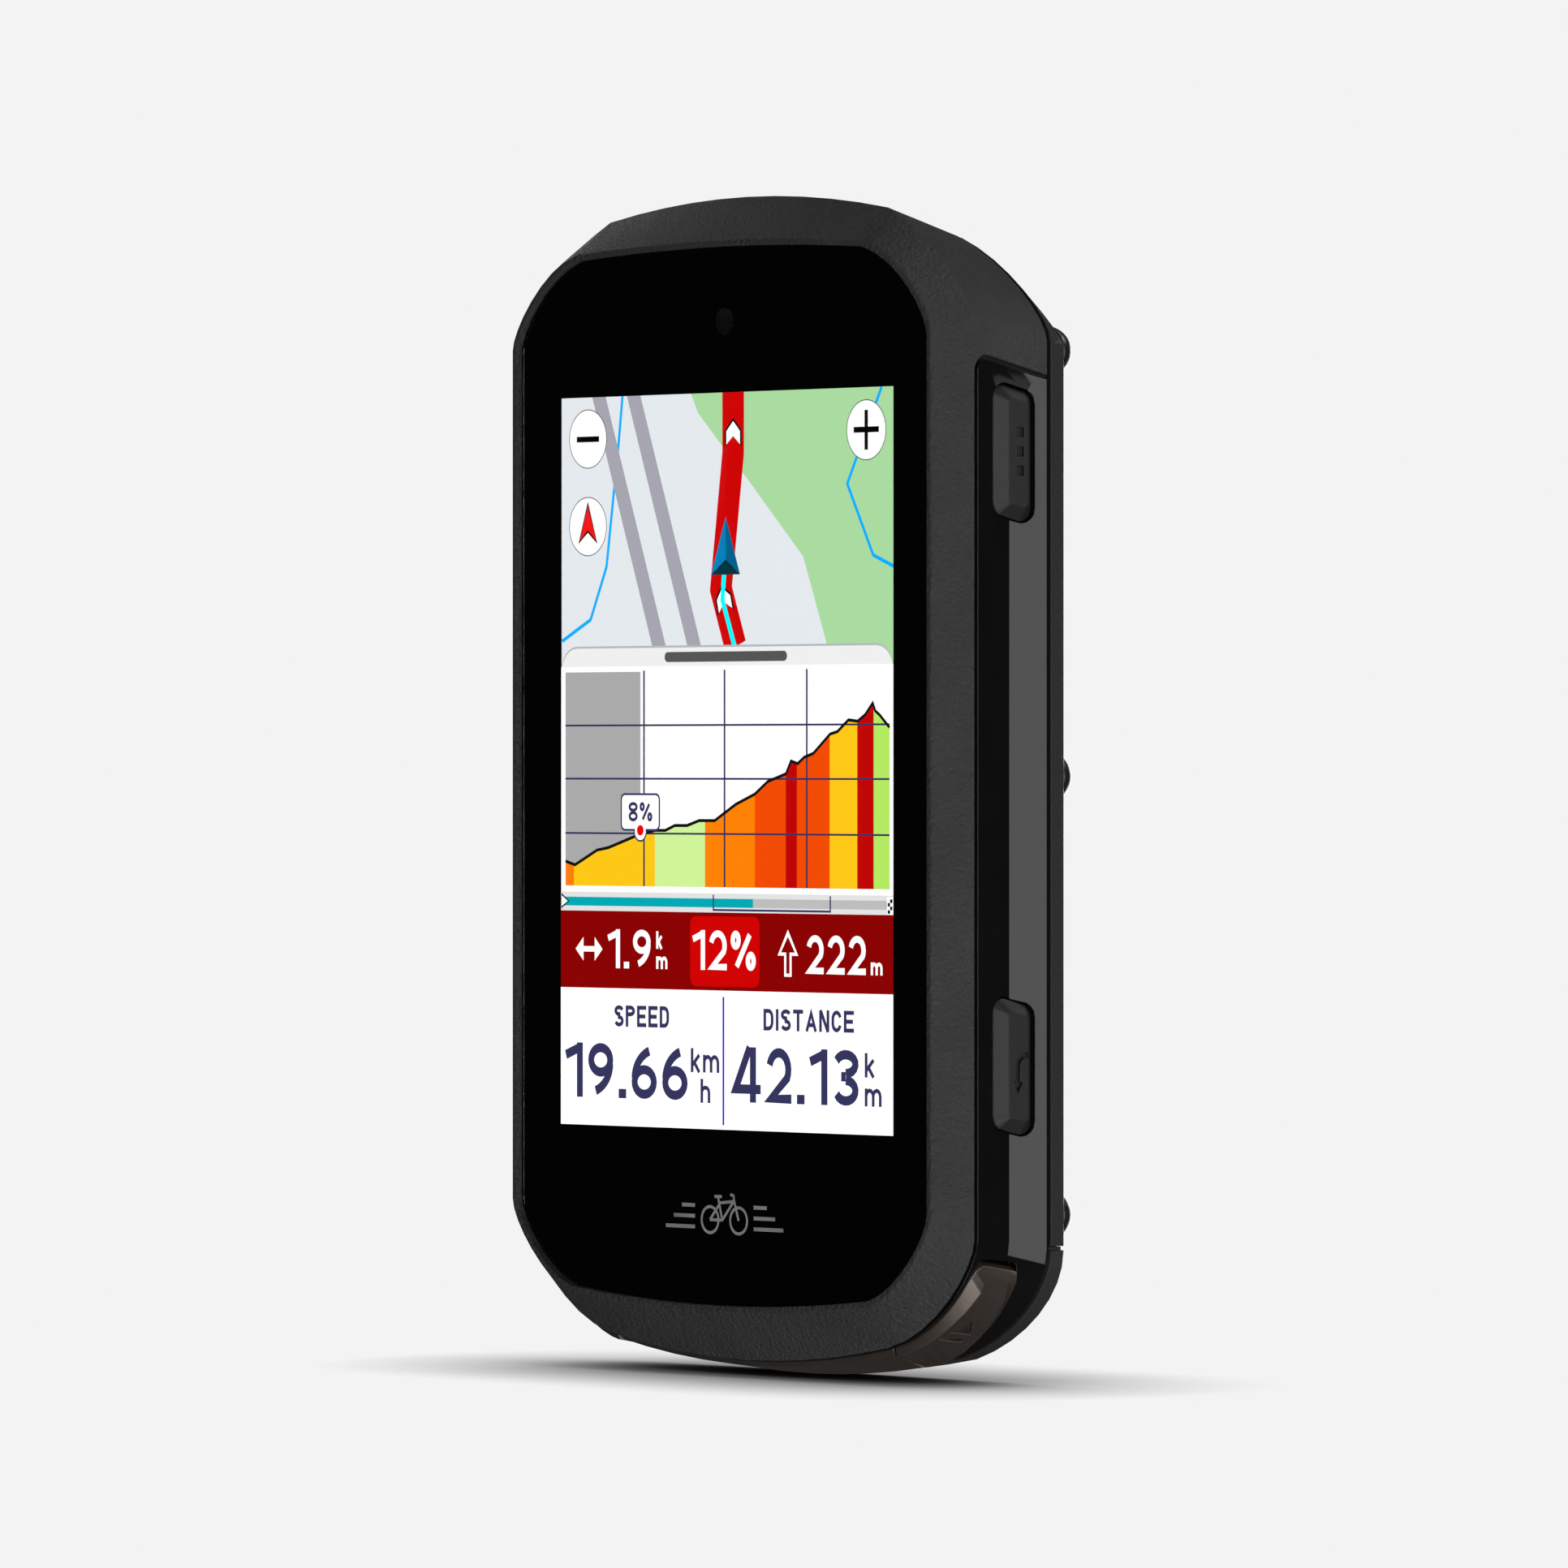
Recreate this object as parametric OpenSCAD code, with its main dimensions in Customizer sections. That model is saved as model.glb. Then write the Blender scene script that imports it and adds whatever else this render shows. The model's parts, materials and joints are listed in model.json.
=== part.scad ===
// Cycling computer: a flat case with a glass front, side keys, two corner keys and a quarter-turn lug.
// +Z runs up the case, the glass faces -Y, and the origin is at the middle of the lowest point.
// Inside the modules, y is the depth behind the rim of the glass and z the height above the screen's centre.

/* [Case] */
// Width across the sides
case_w = 54.4; // [53.4:0.2:55.4]
// Depth from the rim of the glass to the back of the rear cover
case_t = 12.6; // [12.4:0.1:12.9]
// Depth of the sloped front bezel
bezel_t = 3.1; // [2.9:0.1:3.2]
// Width of the dark lines between bezel, frame and rear cover
line_w = 0.4; // [0.3:0.05:0.45]
// Wall of the front casing's hood
hood_wall = 1.9; // [1.6:0.1:2.0]
// Wall of the side frame
frame_wall = 2.4; // [2.2:0.1:2.6]
// Depth of the V channel round the frame
channel = 0.7; // [0.4:0.1:0.8]
// Depth behind the rim where the channel is deepest
channel_y = 7.3; // [6.9:0.1:7.6]
// Thickness of the rear cover's plate
rear_t = 1.6; // [1.5:0.05:1.7]

/* [Glass and screen] */
// Width of the rim round the glass
rim_w = 0.65; // [0.5:0.05:0.8]
// How far the glass lies behind the rim
glass_y = 0.45; // [0.3:0.05:0.6]
// Thickness of the glass
glass_t = 0.6; // [0.5:0.05:0.7]
// Width of the lit screen
screen_w = 40.7; // [39:0.1:41]
// Height of the lit screen
screen_h = 58.2; // [56:0.1:59]
// Diameter of the light sensor
sensor_d = 2.2; // [1.8:0.1:2.6]

/* [Side keys] */
// Width of a side key, across the case's depth
key_w = 4.0; // [3.7:0.1:4.1]
// Length of a side key
key_l = 10.2; // [9:0.2:10.4]
// How far a side key stands out of the case's side
key_out = 0.3; // [0.2:0.05:0.5]
// Travel of a side key
key_travel = 0.4; // [0.3:0.05:0.45]
// Clearance round every key
key_gap = 0.13; // [0.1:0.01:0.2]

/* [Corner keys] */
// How far a corner key's face stands out of the case's outline
corner_out = 0.55; // [0.4:0.05:0.6]
// Travel of a corner key
corner_travel = 0.3; // [0.2:0.05:0.3]

/* [Fasteners and mount] */
// Diameter of a case screw's head
screw_head_d = 4.0; // [3.6:0.1:4.2]
// Height of a case screw's domed head above the rear cover
screw_head_h = 1.9; // [1.5:0.1:2.0]
// Height of the quarter-turn lug behind the rear cover
lug_h = 4.0; // [3.8:0.1:4.4]
// Diameter of the lug's neck
neck_d = 24.8; // [24:0.1:25.4]
// Diameter over the lug's two tabs
tab_d = 30.4; // [29.6:0.1:31]
// Thickness of the tabs
tab_t = 1.6; // [1.5:0.1:1.8]
// Height of the lug's centre above the screen's centre
lug_z = 5; // [0:1:8]

/* [Hidden] */

half_w = case_w / 2;
total_t = case_t + lug_h;
low_z = 48.74;                   // lowest point of the trim, below the screen's centre
far = 70;                        // longer than anything here
rear_y = case_t - rear_t;        // front face of the rear cover's plate
frame_end = rear_y - line_w;     // back of the side frame and of the hood

// Ends of the outline at three depths: [crest, corner x, corner z, arm, slope, reach, side z].
// The crown runs from the crest to the corner, and a curve runs on to the straight side.
rim_top = [41.0, 17.6, 40.4, 4.7, 14, 1.5, 32.9];
rim_low = [43.7, 18.3, 42.7, 3.6, 14, 1.7, 35.4];
crease_top = [44.4, 17.0, 42.95, 5.8, 21, 1.5, 33.5];
crease_low = [47.5, 17.0, 45.9, 5.8, 12, 2.3, 37.1];
back_top = [41.8, 16.6, 40.4, 5.6, 20, 2.0, 32.1];
back_low = [48.6, 17.0, 47.1, 6.2, 16, 3.4, 38.3];
back_cut = [0, 1, -0.16, 0.6, 0, 1.2, 0];  // what the rear cover's upper corners lose at the back
rim_half_w = half_w - 1.45;
crown_steps = 5;
corner_steps = 8;

// Opening in the front casing that the frame fills, in the y-z plane
slant = 13.3;                    // slope of the opening's upper edge and of the keys' ends
mouth_r = 1.3;
mouth_c = [bezel_t + mouth_r, 29.95];

// Side keys
key_y = 7.43;                    // depth of a side key's middle
key_r = 1.1;
key_face_r = 0.45;               // least radius of the corners of a side key's face
bevel_h = 0.9;
bevel_w = 0.92;
stem_x = 23.6;                   // inner end of a side key
menu_z = 23.7;
back_z = -23.85;
up_z = 5.9;
down_z = -8.7;

// Corner keys: their edges along the corner, from 0 at the seam to 1 at the upper end
key_front = [[0, 3.85], [0.85, 3.85], [0.95, 4.1], [1, 4.6]];
face_front = [[0, 4.1], [0.5, 4.6], [0.8, 5.0], [0.95, 5.2], [1, 5.4]];
face_rear = [[0, 9.75], [0.25, 9.2], [0.5, 8.3], [0.8, 7.6], [1, 7.4]];
key_rear = [[0, 10.05], [0.25, 9.65], [0.5, 9.1], [0.8, 8.5], [0.95, 8.3], [1, 8.0]];
face_rise = [[0, 0.45], [0.05, 0.55], [0.8, 0.55], [1, -0.1]];
seam_slope = 0.55;               // how fast the seam runs inward with depth
key_start_y = 3.85;
corner_end = 0.78;
key_depth = 0.95;
pocket_depth = 1.5;
pocket_room = 0.045;             // how much farther a pocket runs than its key, for the travel

// Fasteners
screw_x = 24.9;
screw_z = [31.7, -1.4, -35.5];
screw_r = 0.7;
boss_r = 1.3;
flap_z = -37.85;                 // lower edge of the rear cover's plate
flap_gap = 0.05;                 // gap between the rear cover and the flap
flap_step = 0.3;                 // groove along the flap's upper edge, deep and wide
hinge = [case_t - flap_step, flap_z - flap_gap - flap_step];
socket_z = -43;
panel_y = glass_y + glass_t + 0.07;   // front of the screen
mouth_in = 0.35;                      // how far the frame stays inside the opening
board_y = 3.7;
board_back = 4.4;
stem = [22, 6.2];                     // place of a corner key's stem, across and deep
vent = [-12.5, -32.5];                // place of the vent holes and their membrane

function curve(a, b, c, d, n) = [for (i = [0:n]) let (t = i / n)
    pow(1 - t, 3) * a + 3 * pow(1 - t, 2) * t * b + 3 * (1 - t) * t * t * c + pow(t, 3) * d];
function corner_arms(w, e) = [[e[1], e[2]], [e[1] + e[3] * cos(e[4]), e[2] - e[3] * sin(e[4])],
    [w, e[6] + e[5]], [w, e[6]]];
function quarter(w, e) = let (k = corner_arms(w, e)) concat(
    [for (i = [0:crown_steps - 1]) let (t = i / crown_steps) [e[1] * t, e[0] - (e[0] - e[2]) * t * t]],
    curve(k[0], k[1], k[2], k[3], corner_steps));
function reversed(list) = [for (i = [len(list) - 1:-1:0]) list[i]];
function right_half(w, top, low) = concat(quarter(w, top),
    [for (p = reversed(quarter(w, low))) [p[0], -p[1]]]);
function outline(w, top, low) = let (half = right_half(w, top, low), n = len(half)) concat(half,
    [for (i = [n - 2:-1:1]) [-half[i][0], half[i][1]]]);
function shrunk(e, d) = [e[0] - d, e[1] - 0.3 * d, e[2] - 0.97 * d, e[3], e[4], e[5], e[6] - 0.35 * d];
function depth_mix(y) = (y - bezel_t) / (case_t - bezel_t);
function top_at(y) = crease_top + (back_top - crease_top) * depth_mix(y);
function low_at(y) = crease_low + (back_low - crease_low) * depth_mix(y);
// A ring of the case at depth y, moved inward by d
function ring(y, d = 0) = [y, outline(half_w - d, shrunk(top_at(y), d), shrunk(low_at(y), d))];
// A ring of the rear cover, whose upper corners are cut more
function back_ring(y, d) = [y, outline(half_w - d, shrunk(top_at(y) - back_cut, d), shrunk(low_at(y), d))];
// A ring with the shape of the glass's rim
function rim_ring(y, d = 0) = [y, outline(rim_half_w - d, shrunk(rim_top, d), shrunk(rim_low, d))];

// Solid skin through a list of rings with equal point counts
module loft(rings) {
    n = len(rings[0][1]);
    m = len(rings);
    points = [for (r = rings) for (p = r[1]) [p[0], r[0], p[1]]];
    sides = [for (j = [0:m - 2]) for (i = [0:n - 1])
        let (a = j * n + i, b = j * n + (i + 1) % n) each [[a, a + n, b], [b, a + n, b + n]]];
    polyhedron(points, concat([[for (i = [0:n - 1]) i]],
        [[for (i = [n - 1:-1:0]) (m - 1) * n + i]], sides));
}
module along_x(x0, x1) translate([x0, 0, 0]) rotate([90, 0, 90]) linear_extrude(x1 - x0) children();
module along_y(y0, y1) translate([0, y1, 0]) rotate([90, 0, 0]) linear_extrude(y1 - y0) children();
module in_case() translate([0, -total_t / 2, low_z]) children();
module both_sides() { children(); mirror([1, 0, 0]) children(); }
module rod(r, y0, y1, x, z, sides = 40) along_y(y0, y1) translate([x, z]) circle(r, $fn = sides);
module block(x0, x1, y0, y1, z0, z1) translate([x0, y0, z0]) cube([x1 - x0, y1 - y0, z1 - z0]);
// Plate with rounded corners, flat in the x-z plane
module plate(x0, x1, y0, y1, z0, z1, r) along_y(y0, y1) hull() for (x = [x0 + r, x1 - r])
    for (z = [z0 + r, z1 - r]) translate([x, z]) circle(r, $fn = 24);

// The opening's outline in the y-z plane, moved inward by o
function mouth(o) = let (r = mouth_r - o,
    edge = mouth_c + r * [sin(slant), cos(slant)]) concat(
    [[bezel_t + o, -far]],
    [for (a = [180:-15:90 - slant]) mouth_c + r * [cos(a), sin(a)]],
    [edge, edge + 8 * [cos(slant), -sin(slant)], [case_t + 1, -far]]);

module screw_places(zs) both_sides() for (z = zs) translate([screw_x, 0, z]) children();

module front_bezel() color("#2e2e2e") in_case() difference() {
    union() {
        difference() {
            loft([rim_ring(0, 0.15), rim_ring(0.15), ring(bezel_t), ring(frame_end)]);
            along_x(-far, far) polygon(mouth(0));
            loft([ring(bezel_t - 0.01, hood_wall), ring(frame_end + 0.01, hood_wall)]);
        }
        both_sides() rod(boss_r, bezel_t - 0.5, frame_end, screw_x, screw_z[0]);
    }
    loft([rim_ring(-1, rim_w - 0.04), rim_ring(glass_y + glass_t + 0.2, rim_w - 0.04)]);
    loft([rim_ring(0, 2.9), rim_ring(bezel_t + 0.1, 2.9)]);
    both_sides() rod(screw_r + 0.03, 5, case_t, screw_x, screw_z[0]);
}

module cover_glass() color("#101214") in_case() loft([rim_ring(glass_y, rim_w + 0.12),
    rim_ring(glass_y + 0.12, rim_w), rim_ring(glass_y + glass_t, rim_w)]);

module glass_gasket() color("#0a0a0a") in_case() difference() {
    loft([rim_ring(glass_y + glass_t, rim_w + 0.1), rim_ring(glass_y + glass_t + 0.2, rim_w + 0.1)]);
    loft([rim_ring(0, 2.7), rim_ring(3, 2.7)]);
}

module display_panel() color("#dfe6ea") in_case()
    plate(-screen_w / 2 - 1, screen_w / 2 + 1, panel_y, 2.1, -screen_h / 2 - 3, screen_h / 2 + 1, 0.6);
module display_backlight() color("#c9c9c9") in_case()
    plate(-screen_w / 2 - 0.8, screen_w / 2 + 0.8, 2.15, 3.1, -screen_h / 2 - 2, screen_h / 2 + 0.8, 0.6);
module light_sensor() color("#3a3a3a") in_case() rod(sensor_d / 2, panel_y, 1.9, 0, 34.5);
module display_ribbon() color("#8a5a28") in_case() {
    block(-7, 7, 3.15, 3.25, -36.5, -20);
    block(-7, 7, 1.6, 3.15, -33.9, -33.8);
    block(-7, 7, 3.25, 3.7, -36.5, -36.4);
}

// Corner of a leaning side key, rounded, as points in the y-z plane
function key_corner(length, g, side, end, start) = let (r = max(key_r + g, key_face_r),
    a = key_w / 2 + g - r, b = length / 2 + g - r)
    [for (i = [0:4]) let (t = start - i * 22.5)
        [side * a + r * cos(t), end * b - side * a * tan(slant) + r * sin(t)]];
// Outline of a side key, grown by g
function key_outline(length, g) = concat(key_corner(length, g, -1, 1, 180),
    key_corner(length, g, 1, 1, 90), key_corner(length, g, 1, -1, 0), key_corner(length, g, -1, -1, -90));
// A side key on the +x side, centred at height z: flange, body, bevels and face
module side_key(length, z) {
    face = half_w + key_out;
    steps = [[stem_x, 0.6], [stem_x + 0.75, 0.6], [stem_x + 0.75, 0], [face - bevel_h, 0],
        [face - 0.1, 0.06 - bevel_w], [face, -0.06 - bevel_w]];
    outlines = [for (s = steps) [for (p = key_outline(length, s[1])) [s[0], key_y + p[0], z + p[1]]]];
    n = len(outlines[0]);
    last = (len(steps) - 1) * n;
    sides = [for (j = [0:len(steps) - 2]) for (i = [0:n - 1])
        let (a = j * n + i, b = j * n + (i + 1) % n) each [[a, b, a + n], [b, b + n, a + n]]];
    polyhedron([for (o = outlines) each o],
        concat([[for (i = [n - 1:-1:0]) i]], [[for (i = [0:n - 1]) last + i]], sides));
}
module key_hole(length, z) translate([0, key_y, z])
    along_x(stem_x - 1, half_w + 2) polygon(key_outline(length, key_gap));

// Point on the lower right edge at depth y: s < 0 lies on the crown, 0 to 1 on the corner
function edge_point(y, s) = let (e = low_at(y), k = corner_arms(half_w, e), t = max(s, 0),
    x = e[1] + 10 * min(s, 0),
    p = s < 0 ? [x, e[0] - (e[0] - e[2]) * pow(x / e[1], 2)]
        : pow(1 - t, 3) * k[0] + 3 * pow(1 - t, 2) * t * k[1] + 3 * (1 - t) * t * t * k[2] + pow(t, 3) * k[3])
    [p[0], -p[1]];
function edge_out(y, s) = let (d = edge_point(y, s + 0.01) - edge_point(y, s - 0.01))
    [d[1], -d[0]] / norm(d);
function seam_s(y, g) = -(seam_slope * (y - key_start_y) + g) / 10;
function key_point(y, u, rise, g) = let (s0 = seam_s(y, g),
    s = s0 + (corner_end + (g > 0 ? pocket_room : 0) - s0) * u,
    p = edge_point(y, s) + rise * edge_out(y, s)) [p[0], y, p[1]];
// Closed section of a corner key at u, grown by g
function key_section(u, g, deep, rise) = let (f = lookup(u, key_front) - g, r = lookup(u, key_rear) + g,
    ff = min(lookup(u, face_front), lookup(u, face_rear)), fr = lookup(u, face_rear)) [
    key_point(f, u, -deep, g), key_point(f, u, rise == 0 ? 0.02 : rise, g),
    key_point(ff, u, rise == 0 ? lookup(u, face_rise) * corner_out / 0.55 : rise, g),
    key_point(fr, u, rise == 0 ? lookup(u, face_rise) * corner_out / 0.55 : rise, g),
    key_point(r, u, rise == 0 ? 0.02 : rise, g), key_point(r, u, -deep, g)];
corner_u = [0, 0.03, 0.1, 0.2, 0.3, 0.4, 0.5, 0.6, 0.7, 0.8, 0.87, 0.93, 0.97, 1];
// Solid along the lower right corner, a key or the pocket that it sits in
module corner_solid(g, deep, rise) {
    m = 6;
    points = [for (u = corner_u) each key_section(u, g, deep, rise)];
    last = (len(corner_u) - 1) * m;
    sides = [for (j = [0:len(corner_u) - 2]) for (i = [0:m - 1])
        let (a = j * m + i, b = j * m + (i + 1) % m) each [[a, a + m, b], [b, a + m, b + m]]];
    ends = [for (i = [1:m - 2]) each [[0, i, i + 1], [last, last + i + 1, last + i]]];
    polyhedron(points, concat(ends, sides));
}

module start_key() {
    corner_solid(0, key_depth, 0);
    block(stem[0] - 1.1, stem[0] + 1.1, stem[1] - 1, stem[1] + 1, -43.9, -40.6);
}
module corner_pocket() {
    corner_solid(key_gap, pocket_depth, 2);
    block(stem[0] - 1.4, stem[0] + 1.4, stem[1] - 1.25, stem[1] + 1.25, -45, -40);
}
// Triangle and bar cut into the start key's face, at s along the corner
module start_sign() {
    s = 0.34;
    y = 6.1;
    out = edge_out(y, s);
    place = edge_point(y, s) + (corner_out - 0.45) * out;
    translate([place[0], y, place[1]]) rotate([0, 90 - atan2(out[1], out[0]), 0]) linear_extrude(1) {
        polygon([[-1.1, 0.1], [0.65, -1.05], [0.65, 1.1]]);
        polygon([[1.5, -1.3], [1.95, -1.1], [1.95, 1.2], [1.45, 0.8]]);
    }
}

module channel_end() intersection() {
    translate([0, mouth_c[0], mouth_c[1]] + (mouth_r - mouth_in) * [0, sin(slant), cos(slant)])
        rotate([-slant, 0, 0]) along_y(-3, 9)
            polygon([[half_w - 0.2, 0.5], [half_w - 0.2, 0], [half_w - channel, -4.6], [half_w - 1.5, -4.8],
                [half_w - 1.8, 0.5]]);
    along_x(0, far) polygon(mouth(mouth_in + 0.01));
    block(0, far, bezel_t, frame_end - 0.01, 0, far);
}
// Room of the bottom trim, longer at each end by g and wider by w
module trim_zone(g, w) translate([0, 0, -far]) linear_extrude(far / 2) let (
    front = crease_low[1] - 0.2 + g, back = crease_low[1] - 0.2 - seam_slope * 6.2 + g)
    polygon([[-front, 3.85 - w], [front, 3.85 - w], [back, 10.05 + w], [-back, 10.05 + w]]);

module side_frame() color("#141518") in_case() difference() {
    union() {
        intersection() {
            difference() {
                loft([ring(bezel_t + mouth_in), ring(channel_y, channel), ring(frame_end)]);
                loft([ring(bezel_t, frame_wall), ring(case_t, frame_wall)]);
            }
            along_x(-far, far) polygon(mouth(mouth_in));
        }
        both_sides() channel_end();
        screw_places([screw_z[1], screw_z[2]]) rod(boss_r, bezel_t + mouth_in, frame_end, 0, 0);
    }
    for (z = [menu_z, back_z]) key_hole(key_l, z);
    mirror([1, 0, 0]) for (z = [menu_z, up_z, down_z]) key_hole(key_l, z);
    both_sides() corner_pocket();
    difference() {
        trim_zone(0.2, 0.02);
        loft([ring(bezel_t, 0.9), ring(case_t, 0.9)]);
    }
    both_sides() rod(boss_r + 0.15, 0, case_t, screw_x, screw_z[0]);
    screw_places([screw_z[1], screw_z[2]]) rod(screw_r + 0.03, 5, case_t, 0, 0);
}

module bottom_trim() color("#3a3531") in_case() difference() {
    intersection() {
        loft([ring(3.85, -0.05), ring(4.2, -0.35), ring(9.7, -0.47), ring(10.05, -0.12)]);
        trim_zone(0, 0);
    }
    loft([ring(bezel_t, 0.9), ring(case_t, 0.9)]);
}

// Band of sealing rubber between the outlines moved inward by a and b
module seal(y0, y1, a, b) difference() {
    loft([ring(y0, a), ring(y1, a)]);
    loft([ring(y0 - 0.1, b), ring(y1 + 0.1, b)]);
}
module front_gasket() color("#060606") in_case() intersection() {
    seal(bezel_t, frame_end, 0.5, 0.95);
    along_x(-far, far) difference() {
        polygon(mouth(0));
        polygon(mouth(mouth_in));
    }
}
module rear_gasket() color("#060606") in_case() seal(frame_end, rear_y, 0.5, 1.5);

module main_board() color("#1f4a33") in_case() difference() {
    loft([ring(board_y, 4.5), ring(board_back, 4.5)]);
    block(-7.3, 7.3, 0, case_t, -36.6, -36.1);
}
module shield_cans() color("#b9bcc0") in_case() {
    plate(-19, -2, board_back, 5.8, -10, 12, 0.8);
    plate(2, 17, board_back, 5.8, -18, -3, 0.8);
}
module board_chips() color("#1c1c1e") in_case() {
    for (p = [[3, 0, 9, 8], [12, 2, 17, 6], [-18, -20, -10, -13], [-6, -24, 0, -18], [12, 20, 18, 30],
        [-19, 18, -12, 24], [8, -38, 15, -30]])
        block(p[0], p[2], board_back, 5.4, p[1], p[3]);
}
module gnss_antenna() color("#d9cfae") in_case() {
    plate(-8, 8, board_back, 8.2, 20, 36, 0.8);
    plate(-6.5, 6.5, 8.2, 8.35, 21.5, 34.5, 0.5);
}
module battery() color("#3b5f8f") in_case() plate(-18.5, 18.5, 5.9, 10, -28, 15, 2);
module battery_foam() color("#55585c") in_case() plate(-14, 14, 10, 10.6, -22, 10, 1);

// Rounded slot that a reversible charging plug fits
module slot(w, h) {
    square([w - h, h], center = true);
    for (s = [-1, 1]) translate([s * (w - h) / 2, 0]) circle(h / 2, $fn = 32);
}
module usb_socket() color("#c4c6c9") in_case() difference() {
    along_y(board_back, 9.6) translate([0, socket_z]) slot(8.94, 3.26);
    along_y(board_back + 0.6, 10) translate([0, socket_z]) slot(8.34, 2.56);
}
module usb_tongue() color("#202020") in_case()
    block(-3.3, 3.3, board_back + 0.6, 9.0, socket_z - 0.35, socket_z + 0.35);
module speaker() color("#2a2a2c") in_case() plate(-18, -7, board_back, 8, -39, -31, 1.2);
module vent_membrane() color("#d8d8d8") in_case() rod(2.9, rear_y - 0.12, rear_y, vent[0], vent[1]);

module side_switch(z) {
    block(21.9, 22.9, key_y - 1.3, key_y + 1.3, z - 1.8, z + 1.8);
    translate([22.9, key_y, z]) rotate([0, 90, 0]) cylinder(h = 0.2, r = 0.6, $fn = 24);
}
module right_switches() color("#c9c9c4") in_case() for (z = [menu_z, back_z]) side_switch(z);
module left_switches() color("#c9c9c4") in_case() mirror([1, 0, 0])
    for (z = [menu_z, up_z, down_z]) side_switch(z);
module bottom_switches() color("#c9c9c4") in_case() both_sides() {
    block(stem[0] - 1.8, stem[0] + 1.2, stem[1] - 1.3, stem[1] + 1.3, -39.9, -38.9);
    translate([stem[0], stem[1], -40.15]) cylinder(h = 0.25, r = 0.6, $fn = 24);
}
module key_flex() color("#9a6a30") in_case() {
    block(21.7, 21.9, board_back, 9, back_z - 3, menu_z + 3);
    block(-21.9, -21.7, board_back, 9, down_z - 3, menu_z + 3);
    both_sides() block(20, 23.4, board_back, 7.8, -38.9, -38.7);
}

// Gap in the rear cover's lip behind a side key
module lip_notch(z) block(stem_x - 1, half_w, 0, frame_end - 0.05, z - key_l / 2 - 1.2, z + key_l / 2 + 1.2);
module rear_cover() color("#262626") in_case() difference() {
    union() {
        intersection() {
            loft([ring(rear_y), back_ring(case_t - 0.3, 0), back_ring(case_t, 0.3)]);
            block(-far, far, 0, far, flap_z, far);
        }
        difference() {
            loft([ring(frame_end - 1.1, frame_wall + 0.15), ring(rear_y, frame_wall + 0.15)]);
            loft([ring(frame_end - 2, frame_wall + 1.1), ring(case_t, frame_wall + 1.1)]);
            block(-far, far, frame_end - 0.05, far, -far, flap_z);
            screw_places(screw_z) rod(boss_r + 0.2, 0, rear_y, 0, 0);
            for (z = [menu_z, back_z]) lip_notch(z);
            mirror([1, 0, 0]) for (z = [menu_z, up_z, down_z]) lip_notch(z);
        }
        intersection() {
            loft([ring(frame_end - 1.1, frame_wall + 0.15), ring(rear_y, frame_wall + 0.15)]);
            union() {
                block(-20, 20, 0, frame_end - 0.05, -far, -35.5);
                block(-20, 20, 0, rear_y + 0.1, flap_z, -35.5);
            }
        }
    }
    screw_places(screw_z) rod(screw_r + 0.03, 5, far, 0, 0);
    for (s = [-1, 1]) for (t = [-1, 1]) rod(0.63, 5, far, s * 5, lug_z + t * 5, 24);
    for (i = [-2:2]) rod(0.4, rear_y - 0.01, far, vent[0] + i * 1.2, vent[1], 16);
    block(-5.6, 5.6, 5, frame_end + 0.1, -45.9, -40.3);
}

module case_screws() color("#4a4a4c") in_case() screw_places(screw_z) {
    rod(screw_r, 5.5, case_t, 0, 0);
    difference() {
        head_r = screw_head_d / 2;
        cap = screw_head_h - 0.2;
        ball = (head_r * head_r + cap * cap) / (2 * cap);
        intersection() {
            rod(head_r, case_t, case_t + screw_head_h, 0, 0);
            translate([0, case_t + screw_head_h - ball, 0]) sphere(ball, $fn = 48);
        }
        rod(0.95, case_t + screw_head_h - 0.9, far, 0, 0, 6);
    }
}

module quarter_turn_mount() color("#1d1d1d") in_case() translate([0, 0, lug_z]) difference() {
    union() {
        rod(tab_d / 2, case_t, case_t + 0.5, 0, 0, 96);
        rod(neck_d / 2, case_t, total_t, 0, 0, 96);
        along_y(total_t - tab_t, total_t) intersection() {
            circle(tab_d / 2, $fn = 96);
            both_sides() polygon([[0, 0], [far, 0.7 * far], [far, -0.7 * far]]);
        }
    }
    rod(9.5, case_t + 2, far, 0, 0, 64);
    for (s = [-1, 1]) for (t = [-1, 1]) rod(0.63, 0, far, s * 5, t * 5, 24);
    both_sides() rod(0.9, total_t - tab_t - 0.1, far, tab_d / 2 + 0.3, 0, 24);
}
module mount_screws() color("#8b8d90") in_case() for (s = [-1, 1]) for (t = [-1, 1])
    translate([s * 5, 0, lug_z + t * 5]) {
        rod(0.6, rear_y + 0.05, case_t + 2.01, 0, 0, 24);
        difference() {
            rod(1.6, case_t + 2, case_t + 3, 0, 0, 32);
            rod(0.7, case_t + 2.4, far, 0, 0, 6);
        }
    }

module menu_button() color("#333333") in_case() difference() {
    side_key(key_l, menu_z);
    for (z = [1.6, 0.1, -1.4]) translate([0, key_y + 0.2, menu_z + z])
        along_x(half_w + key_out - 0.35, far) square([0.7, 0.76], center = true);
}
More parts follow.
